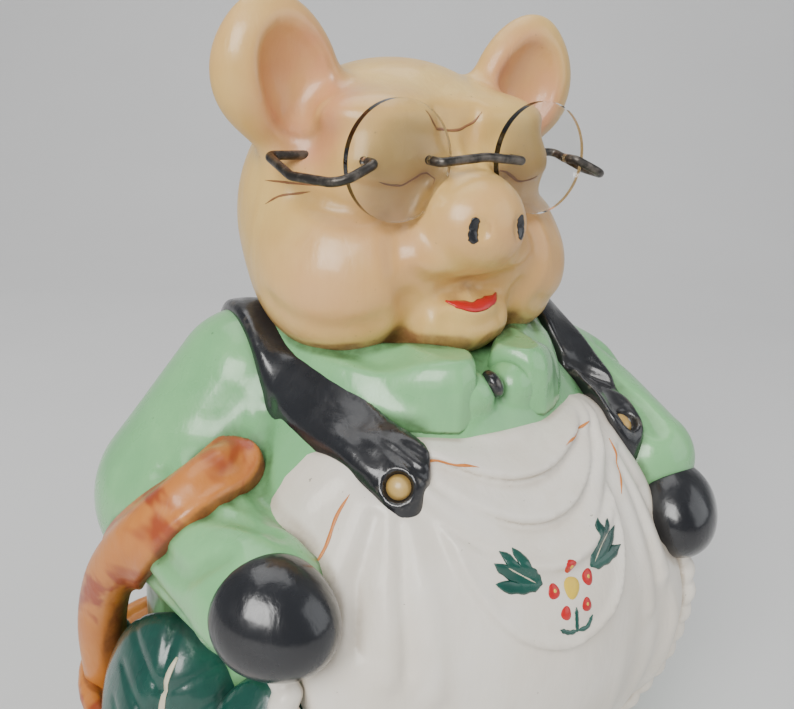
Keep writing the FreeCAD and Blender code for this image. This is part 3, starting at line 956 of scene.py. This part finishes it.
def lens_finish():
    n = Nodes("lens_finish")
    haze = n.ramp(n.noise(140, 4, 0.65), 0.45, 0.75, 0.02, 0.10)
    scratch = n.ramp(n.noise(700, 2, 0.5, (1.0, 0.05, 0.3)), 0.68, 0.72, 0.0, 0.10)
    n.put(n.shader.inputs["Roughness"], n.math("ADD", haze, scratch))
    n.put(n.shader.inputs["Base Color"], n.mix(n.noise(60, 2), (0.97, 0.97, 0.96), (0.93, 0.94, 0.92)))
    n.shader.inputs["Transmission Weight"].default_value = 1.0
    n.shader.inputs["IOR"].default_value = 1.49
    return n.material


wire = wire_finish()
lens = lens_finish()

# ---- camera, light and floor ----
def look():
    az, el, roll = (math.radians(a) for a in (VIEW_AZIMUTH, VIEW_HEIGHT, VIEW_ROLL))
    back = np.array([math.sin(az) * math.cos(el), -math.cos(az) * math.cos(el), math.sin(el)])
    right = np.array([math.cos(az), math.sin(az), 0])
    up = np.cross(back, right)
    x = math.cos(roll) * right + math.sin(roll) * up
    y = -math.sin(roll) * right + math.cos(roll) * up
    data = bpy.data.cameras.new("camera")
    data.sensor_width = 36
    data.lens = VIEW_LENS
    data.clip_start = 0.01
    obj = bpy.data.objects.new("camera", data)
    bpy.context.scene.collection.objects.link(obj)
    m = np.eye(4)
    m[:3, 0], m[:3, 1], m[:3, 2] = x, y, back
    m[:3, 3] = VIEW_PLACE
    obj.matrix_world = Matrix(m.tolist())
    bpy.context.scene.camera = obj


def lamp(name, place, target, size, watts, colour=(1, 1, 1)):
    data = bpy.data.lights.new(name, "AREA")
    data.shape = "RECTANGLE"
    data.size, data.size_y = size
    data.energy = watts
    data.color = colour
    obj = bpy.data.objects.new(name, data)
    bpy.context.scene.collection.objects.link(obj)
    obj.location = place
    obj.rotation_euler = (Vector(target) - Vector(place)).to_track_quat("-Z", "Y").to_euler()


def studio():
    n = Nodes("floor_finish")
    n.put(n.shader.inputs["Base Color"], n.mix(n.noise(9, 3), (0.70, 0.695, 0.69), (0.66, 0.655, 0.65)))
    n.put(n.shader.inputs["Roughness"], n.ramp(n.noise(20, 3), 0.3, 0.7, 0.55, 0.70))
    wide, rise, turn = 3.0, 2.2, 0.5
    verts, faces = [], []
    profile = [(-2.5, 0.0), (0.45, 0.0)]
    for i in range(1, 13):
        a = math.pi / 2 * i / 12
        profile.append((0.45 + turn * math.sin(a), turn - turn * math.cos(a)))
    profile.append((0.95, rise))
    spin = math.radians(VIEW_AZIMUTH)
    for along, up in profile:
        for across in (-wide, wide):
            x = across * math.cos(spin) - along * math.sin(spin)
            y = across * math.sin(spin) + along * math.cos(spin)
            verts.append((x, y, up))
    for i in range(len(profile) - 1):
        faces.append([2 * i, 2 * i + 1, 2 * i + 3, 2 * i + 2])
    mesh = bpy.data.meshes.new("backdrop")
    mesh.from_pydata(verts, [], faces)
    mesh.polygons.foreach_set("use_smooth", [True] * len(mesh.polygons))
    obj = bpy.data.objects.new("backdrop", mesh)
    bpy.context.scene.collection.objects.link(obj)
    obj.data.materials.append(n.material)
    lamp("window", (-0.75, -0.55, 0.75), (0, 0, 0.10), (0.6, 0.6), 14.0, (1.0, 0.99, 0.97))
    lamp("fill", (0.75, -0.75, 0.55), (0, 0, 0.10), (0.9, 0.9), 3.5, (0.96, 0.98, 1.0))
    lamp("top", (0.05, 0.25, 1.0), (0, 0, 0.10), (0.8, 0.8), 4.5)
    world = bpy.data.worlds.new("studio")
    bpy.context.scene.world = world
    world.use_nodes = True
    world.node_tree.nodes["Background"].inputs["Color"].default_value = (0.80, 0.84, 0.90, 1)
    world.node_tree.nodes["Background"].inputs["Strength"].default_value = 0.35


look()
studio()


# ---- the figure ----
def torso_outside(p):
    """The blouse, flat underneath and open at the vent."""
    d = np.maximum(blouse(p), 0.0 - p[:, 2])
    vent = np.maximum(np.sqrt(p[:, 0] ** 2 + (p[:, 1] - VENT_Y) ** 2) - VENT_R, p[:, 2] - 14)
    return cut(d, vent, 0.8)


def straps_side(s):
    def shape(p):
        d = strap(p, s)
        boss = ball(p, STRAP_END[s], 4.2)
        d = join(d, boss, 1.5)
        return cut(
            d, ell(p, STRAP_END[s] + STRAP_UP[s] * 3.2, (2.9, 2.9, 2.0), frame_to(STRAP_UP[s])), 0.6
        )
    return shape


STRAP_END, STRAP_UP = {}, {}
for s in (-1, 1):
    face = lambda p: under_strap(p) - 1.2
    at, up = settle(face, np.array([[-24.5, -41.0, 102.5] if s < 0 else [38.5, -36.0, 101.0]]), 10)
    STRAP_END[s] = (at[0] - up[0] * 2.0).astype(np.float32)
    STRAP_UP[s] = up[0].astype(np.float32)

field_piece(
    "blouse_body", torso_outside, (-72, -54, -2), (68, 58, 130), 1.15, mint,
    ("torso_shell", "arm_left", "arm_right")
)
pig = field_piece(
    "pig_head", head, (-46, -38, 106), (46, 38, 192), 0.8, skin,
    ("head_shell", "ear_left", "ear_right", "snout")
)
v = np.empty(len(pig.data.vertices) * 3, np.float32)
pig.data.vertices.foreach_get("co", v)
v = v.reshape(-1, 3) / MM
blush = np.zeros(len(v))
for s in (-1, 1):
    blush += 1.0 * hump(ell(v, (s * 27.5, -5.5, 171), (6.5, 5, 11)), 4.5)
    blush += 0.40 * hump(ell(v, (s * 22, -20, 138), (7, 6, 7)), 7)
blush += 0.35 * hump(ell(v, (0, -32, 147), (8, 3, 6)), 4)
pig.data.attributes.new("blush", "FLOAT", "POINT").data.foreach_set(
    "value", np.clip(blush, 0, 1).astype(np.float32)
)
field_piece(
    "apron_cloth", apron, (-54, -76, 16), (54, -8, 113), 0.8, cream,
    ("apron", "apron_pocket")
)
field_piece("collar_lapels", collar, (-42, -44, 106), (42, 36, 126), 0.7, mint, ("collar",))
for s, side in ((-1, "right"), (1, "left")):
    field_piece(
        "strap_band_" + side, straps_side(s), (min(s * 16, s * 52), -56, 82),
        (max(s * 16, s * 52), 60, 132), 0.7, black, ("strap_" + side,)
    )
    stud = lambda p, s=s: ell(
        p, STRAP_END[s] + STRAP_UP[s] * 1.6, (2.5, 2.5, 1.8), frame_to(STRAP_UP[s])
    )
    c = STRAP_END[s]
    field_piece(
        "gold_stud_" + side, stud, c - 5, c + 5, 0.3, gold, ("strap_button_" + side,),
        reach=1.0
    )
for c, s, side in ((RIGHT_HOOF, -1, "right"), (LEFT_HOOF, 1, "left")):
    hoof = lambda p, c=c, s=s: np.maximum(trotter(p, c, s), -blouse(p) - 2.5)
    field_piece("hoof_" + side, hoof, c - 17, c + 17, 0.7, black, ("trotter_" + side,))
field_piece(
    "basket_weave", basket, (-80, -36, -2), (-26, 32, 50), 0.9, brown, ("basket",)
)
field_piece(
    "basket_band", handle, (-80, -26, 38), (-38, 14, 110), 0.8, brown,
    ("basket_handle",)
)
for index, nodes in ((0, ("leaf_outer",)), (1, ("leaf_front",)), (2, ("leaf_back",))):
    leaf = LEAVES[index]
    shape = lambda p, leaf=leaf: leaf_field(p, leaf)
    reach = max(leaf[1]) + 5
    field_piece(
        "leaf_%d" % (index + 1), shape, leaf[0] - reach, leaf[0] + reach, 0.7, green,
        nodes
    )


def hem_rope():
    """The twisted trim along the apron's sides and hem."""
    centre = hem_curve(420)
    centre, normal = settle(lambda p: torso(p) - flare(p[:, 0], p[:, 2]), centre)
    centre = centre + normal * 1.5
    tangent = np.gradient(centre, axis=0)
    step = np.linalg.norm(tangent, axis=1)
    tangent /= step[:, None]
    along = np.cumsum(step)
    side = np.cross(normal, tangent)
    side /= np.linalg.norm(side, axis=1, keepdims=True)
    ring = 20
    verts, faces = [], []
    for i in range(len(centre)):
        for j in range(ring):
            a = 2 * math.pi * j / ring
            twist = 0.5 + 0.5 * math.cos(2 * math.pi * along[i] / 5.2 + 1.3 * math.cos(a))
            r = 2.15 + 0.95 * twist**0.6
            verts.append(centre[i] + normal[i] * r * math.sin(a) + side[i] * r * 1.05 * math.cos(a))
    for i in range(len(centre) - 1):
        for j in range(ring):
            k = (j + 1) % ring
            faces.append([i * ring + j, i * ring + k, (i + 1) * ring + k, (i + 1) * ring + j])
    faces.append([j for j in reversed(range(ring))])
    faces.append([(len(centre) - 1) * ring + j for j in range(ring)])
    return piece("hem_rope", verts, faces, cream, ("apron_ruffle",), reach=2.0)


hem_rope()

button = lambda p: ell(p, BUTTON_AT, (3.0, 3.0, 1.9), frame_to(BUTTON_UP))
at, up = settle(blouse, np.array([[-2.5, -36.0, 116.5]]), 8)
BUTTON_AT, BUTTON_UP = at[0] + up[0] * 0.3, up[0]
field_piece(
    "dark_button", button, BUTTON_AT - 5, BUTTON_AT + 5, 0.35, black, ("blouse_button",),
    reach=1.2
)

# ---- painted lines ----
face_lines = [
    (
        [
            (-8.5, -16.5, 168), (-6.5, -16, 165.5), (-3.5, -16, 164.5), (1, -15.5, 164.3),
            (4, -15.7, 165.5), (6.2, -16, 168)
        ],
        0.55, (0.1, 0.1)
    ),
    (
        [(-19.5, -18.5, 155.2), (-16.5, -19.3, 153.9), (-13.5, -19.5, 153.6), (-10, -20.5, 154.6)], 0.6,
        (0.1, 0.1)
    ),
    (
        [(10, -20.5, 154.6), (13.5, -19.5, 153.6), (16.5, -19.3, 153.9), (19.5, -18.5, 155.4)], 0.6,
        (0.1, 0.1)
    ),
    (
        [(-33.5, 1.5, 152.8), (-31, -4, 153.0), (-28.5, -8.5, 153.3), (-25.5, -13, 153.6)], 0.45,
        (0.05, 0.05)
    ),
    ([(-34.3, -0.5, 148.4), (-32.3, -4, 150.6), (-29, -9, 152.0)], 0.45, (0.05, 0.05)),
    (
        [(33.5, 1.5, 152.8), (31, -4, 153.0), (28.5, -8.5, 153.3), (25.5, -13, 153.6)], 0.45,
        (0.05, 0.05)
    ),
    ([(34.3, -0.5, 148.4), (32.3, -4, 150.6), (29, -9, 152.0)], 0.45, (0.05, 0.05)),
]
build_strokes("face_lines", face_lines, head, line_brown, 0.03, thick=0.10)
nostrils = [
    (
        [(s * 5.4, -32.5, 149.6), (s * 5.9, -32.9, 147.2), (s * 6.0, -32.2, 144.8)], 2.1, (0.35, 0.35)
    ) for s in (-1, 1)
]
build_strokes("nostril_paint", nostrils, head, black, 0.02, thick=0.12)
lips = [
    (
        [
            (-5.5, -25, 133.0), (-2.5, -26.5, 131.4), (0.5, -27, 131.0), (3.5, -26.5, 131.5),
            (6.5, -25, 133.2)
        ],
        3.4, (0.1, 0.1)
    )
]
lip = build_strokes("lip_paint", lips, head, red, 0.05, thick=0.25)
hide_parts("lower_lip")


def on_apron(points):
    return [(x, -60.0, z) for x, z in points]


def strokes_on_apron(name, runs, material, thick=0.14):
    placed = []
    for points, width, taper in runs:
        p = np.array(on_apron(points), np.float32)
        for _ in range(50):
            p[:, 1] += np.clip(apron(p), -2, 2) * 0.7
        placed.append(([tuple(q) for q in p], width, taper))
    return build_strokes(name, placed, apron, material, 0.05, thick=thick)


folds = [
    ([(-34, 101), (-37, 97.5), (-40, 93), (-42.5, 89.5)], 0.7, (0.1, 0.02)),
    ([(-22, 107), (-17, 106.2), (-11, 105.2)], 0.6, (0.3, 0.02)),
    ([(22, 106.5), (17, 106.0), (11, 105.2)], 0.6, (0.3, 0.02)),
    ([(29, 101), (27.5, 97), (24.5, 93)], 0.7, (0.1, 0.02)),
    ([(38, 99), (40, 94), (42, 88)], 0.7, (0.1, 0.02)),
]
strokes_on_apron("apron_fold_lines", folds, orange, 0.08)
sprig = []
for sx, fan in (
    (-1, ((-14.5, 91.5), (-12.5, 92.8), (-9.8, 93.0), (-14.8, 88.0))),
    (1, ((17.0, 90.5), (15.0, 92.4), (12.6, 93.0), (17.0, 87.4)))
):
    root = (sx * 6.2 + 0.6, 86.6)
    for tip in fan:
        mid = ((root[0] + tip[0]) / 2 + sx * 0.3, (root[1] + tip[1]) / 2 - 0.5)
        sprig.append(([root, mid, tip], 2.3, (0.15, 0.05)))
for points in (
    ((0.4, 77.0), (0.7, 79.2), (1.0, 81.2)), ((0.4, 77.2), (-1.6, 77.4), (-3.6, 78.4)),
    ((0.6, 77.2), (3.0, 77.2), (4.8, 78.8))
):
    sprig.append((list(points), 0.9, (0.2, 0.1)))
strokes_on_apron("sprig_leaves", sprig, green, 0.18)
light = [([(sx * 7.5 + 0.6, 87.0), (sx * 12.6 + 0.6, 90.6)], 0.5, (0.05, 0.05)) for sx in (-1, 1)]
strokes_on_apron("sprig_lights", light, vein, 0.24)


def dabs(name, spots, material, lift):
    """Small domed dots of paint on the apron."""
    verts, faces = [], []
    for x, z, radius in spots:
        start, around = len(verts), 18
        for ring, high in ((0.0, 0.24), (0.45, 0.20), (0.80, 0.10), (1.0, -0.12)):
            for k in range(around if ring else 1):
                a = 2 * math.pi * k / around
                wobble = 1 + 0.07 * math.sin(3 * a + x)
                verts.append(
                    (
                        x + ring * radius * wobble * math.cos(a),
                        z + ring * radius * wobble * math.sin(a), high
                    )
                )
        for k in range(around):
            n = (k + 1) % around
            faces.append([start, start + 1 + n, start + 1 + k])
            for ring in range(2):
                a = start + 1 + ring * around
                faces.append([a + k, a + n, a + around + n, a + around + k])
    v = np.array(verts)
    p = np.stack([v[:, 0], np.full(len(v), -66.0), v[:, 1]], 1).astype(np.float32)
    for _ in range(60):
        p[:, 1] += np.clip(apron(p), -2, 2) * 0.7
    at, up = settle(apron, p, 3)
    return piece(name, at + up * (v[:, 2:] + lift), faces, material, shade_and_wear=False)


dabs(
    "berry_dots",
    ((0.9, 88.6, 1.5), (-3.4, 84.9, 1.4), (5.4, 85.2, 1.5), (-1.6, 80.8, 1.3), (3.8, 80.9, 1.3)),
    red, 0.06
)
dabs(
    "flower_middle",
    ((0.9, 84.6, 1.9), (0.9, 88.7, 0.5), (-3.3, 85.0, 0.45), (5.4, 85.3, 0.45), (3.8, 81.0, 0.4)),
    yellow, 0.16
)

for index, runs in (
    (0, [([(1.5, 13), (0.5, 4), (0, -6), (0.5, -14)], 1.6)]),
    (1, [([(0, 12), (0.3, 2), (0, -10)], 1.5)]), (2, [([(0, 9), (0.3, 0), (0, -9)], 1.4)])
):
    leaf = LEAVES[index]
    turn = leaf_frame(leaf)
    placed = []
    for points, width in runs:
        q = np.array([(x, y, 6.0) for x, y in points], np.float32)
        placed.append(([tuple(w) for w in (q @ turn + leaf[0])], width, (0.35, 0.1)))
    shape = lambda p, leaf=leaf: leaf_field(p, leaf)
    build_strokes("leaf_vein_%d" % (index + 1), placed, shape, vein, 0.05, thick=0.15)

for name in ("bridge_wire", "temple_wire_left", "temple_wire_right"):
    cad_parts[name].data.materials.clear()
    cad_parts[name].data.materials.append(wire)
for name in ("lens_left", "lens_right"):
    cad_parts[name].data.materials.clear()
    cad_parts[name].data.materials.append(lens)
